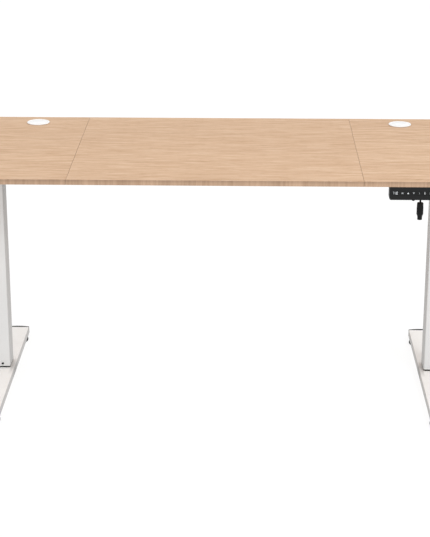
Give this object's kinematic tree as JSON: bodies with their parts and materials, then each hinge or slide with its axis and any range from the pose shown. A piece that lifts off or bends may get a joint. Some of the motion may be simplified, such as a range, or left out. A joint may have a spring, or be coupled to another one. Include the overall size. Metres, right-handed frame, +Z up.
{
  "type": "height adjustable standing desk",
  "caption": "Height adjustable standing desk with an oak-look three-board top, white telescopic columns on long feet, cable grommets and a small black keypad.",
  "frame": {"origin": "on the floor under the middle of the whole footprint, 21 mm in front of the columns' middle", "axes": "+X to the right along the desk, +Y to its back, +Z up"},
  "size_m": [1.4, 0.7426, 0.7109],
  "materials": {
    "oak_laminate": "satin",
    "white_paint": "satin",
    "bright_steel": "satin",
    "cast_alloy": "matte",
    "dark_steel": "satin",
    "white_plastic": "matte",
    "charcoal_plastic": "matte",
    "black_plastic": "matte",
    "display_glass": "gloss",
    "cord_jacket": "matte",
    "circuit_board": "satin"
  },
  "bodies": {
    "base": {"foot_left": "white_paint", "foot_cap_left_front": "black_plastic", "foot_cap_left_back": "black_plastic", "inner_tube_left": "white_paint", "spindle_nut_left": "black_plastic", "upper_glide_left": "black_plastic", "foot_right": "white_paint", "foot_cap_right_front": "black_plastic", "foot_cap_right_back": "black_plastic", "inner_tube_right": "white_paint", "spindle_nut_right": "black_plastic", "upper_glide_right": "black_plastic"},
    "top": {"desktop_left": "oak_laminate", "desktop_center": "oak_laminate", "desktop_right": "oak_laminate", "rail_front": "white_paint", "rail_back": "white_paint", "motor_gearhead": "cast_alloy", "motor_can": "dark_steel", "motor_lead": "cord_jacket", "control_box": "charcoal_plastic", "control_box_lid": "charcoal_plastic", "control_board": "circuit_board", "mains_inlet": "black_plastic", "keypad_housing": "charcoal_plastic", "keypad_fascia": "charcoal_plastic", "keypad_display": "display_glass", "keypad_screw": "dark_steel", "keypad_gland": "black_plastic", "keypad_lead": "cord_jacket", "keypad_plug": "black_plastic", "grommet_sleeve_left": "white_plastic", "outer_tube_left": "white_paint", "lower_glide_left": "black_plastic", "glide_screw_left": "dark_steel", "column_head_left": "dark_steel", "gearbox_left": "cast_alloy", "side_arm_left": "white_paint", "grommet_sleeve_right": "white_plastic", "outer_tube_right": "white_paint", "lower_glide_right": "black_plastic", "glide_screw_right": "dark_steel", "column_head_right": "dark_steel", "gearbox_right": "cast_alloy", "side_arm_right": "white_paint"},
    "spindle_left": {"spindle_left": "bright_steel"},
    "spindle_right": {"spindle_right": "bright_steel"},
    "drive_shaft": {"drive_shaft": "bright_steel"},
    "leveller_left_front": {"leveller_left_front": "black_plastic"},
    "leveller_left_back": {"leveller_left_back": "black_plastic"},
    "grommet_cap_left": {"grommet_cap_left": "white_plastic"},
    "leveller_right_front": {"leveller_right_front": "black_plastic"},
    "leveller_right_back": {"leveller_right_back": "black_plastic"},
    "grommet_cap_right": {"grommet_cap_right": "white_plastic"},
    "key_memory": {"key_memory": "charcoal_plastic"},
    "key_up": {"key_up": "charcoal_plastic"},
    "key_down": {"key_down": "charcoal_plastic"},
    "key_one": {"key_one": "charcoal_plastic"},
    "key_two": {"key_two": "charcoal_plastic"},
    "key_three": {"key_three": "charcoal_plastic"}
  },
  "joints": [
    {"name": "lift", "type": "slide", "parent": "base", "child": "top", "axis": [0, 0, 1], "range_m": [0, 0.46]},
    {"name": "spindle_turn_left", "type": "hinge", "parent": "top", "child": "spindle_left", "pos_m": [-0.643, 0.02125, 0.668], "axis": [0, 0, 1], "range_deg": [0, 16563]},
    {"name": "spindle_turn_right", "type": "hinge", "parent": "top", "child": "spindle_right", "pos_m": [0.643, 0.02125, 0.668], "axis": [0, 0, 1], "range_deg": [0, 16563]},
    {"name": "shaft_turn", "type": "hinge", "parent": "top", "child": "drive_shaft", "pos_m": [0, 0.02125, 0.668], "axis": [1, 0, 0], "range_deg": [0, 16563]},
    {"name": "leveller_left_front_screw", "type": "slide", "parent": "base", "child": "leveller_left_front", "axis": [0, 0, -1], "range_m": [0, 0.008]},
    {"name": "leveller_left_back_screw", "type": "slide", "parent": "base", "child": "leveller_left_back", "axis": [0, 0, -1], "range_m": [0, 0.008]},
    {"name": "grommet_cap_left_lift", "type": "slide", "parent": "top", "child": "grommet_cap_left", "axis": [0, 0, 1], "range_m": [0, 0.03]},
    {"name": "leveller_right_front_screw", "type": "slide", "parent": "base", "child": "leveller_right_front", "axis": [0, 0, -1], "range_m": [0, 0.008]},
    {"name": "leveller_right_back_screw", "type": "slide", "parent": "base", "child": "leveller_right_back", "axis": [0, 0, -1], "range_m": [0, 0.008]},
    {"name": "grommet_cap_right_lift", "type": "slide", "parent": "top", "child": "grommet_cap_right", "axis": [0, 0, 1], "range_m": [0, 0.03]},
    {"name": "key_memory_press", "type": "slide", "parent": "top", "child": "key_memory", "axis": [0, 1, 0], "range_m": [0, 0.0008], "stiffness_N_per_m": 400, "springref_m": -0.0005},
    {"name": "key_up_press", "type": "slide", "parent": "top", "child": "key_up", "axis": [0, 1, 0], "range_m": [0, 0.0008], "stiffness_N_per_m": 400, "springref_m": -0.0005},
    {"name": "key_down_press", "type": "slide", "parent": "top", "child": "key_down", "axis": [0, 1, 0], "range_m": [0, 0.0008], "stiffness_N_per_m": 400, "springref_m": -0.0005},
    {"name": "key_one_press", "type": "slide", "parent": "top", "child": "key_one", "axis": [0, 1, 0], "range_m": [0, 0.0008], "stiffness_N_per_m": 400, "springref_m": -0.0005},
    {"name": "key_two_press", "type": "slide", "parent": "top", "child": "key_two", "axis": [0, 1, 0], "range_m": [0, 0.0008], "stiffness_N_per_m": 400, "springref_m": -0.0005},
    {"name": "key_three_press", "type": "slide", "parent": "top", "child": "key_three", "axis": [0, 1, 0], "range_m": [0, 0.0008], "stiffness_N_per_m": 400, "springref_m": -0.0005}
  ],
  "couplings": [
    {"joint": "spindle_turn_left", "follows": "lift", "rad_per_m": 628.32},
    {"joint": "spindle_turn_right", "follows": "lift", "rad_per_m": 628.32},
    {"joint": "shaft_turn", "follows": "lift", "rad_per_m": 628.32}
  ]
}
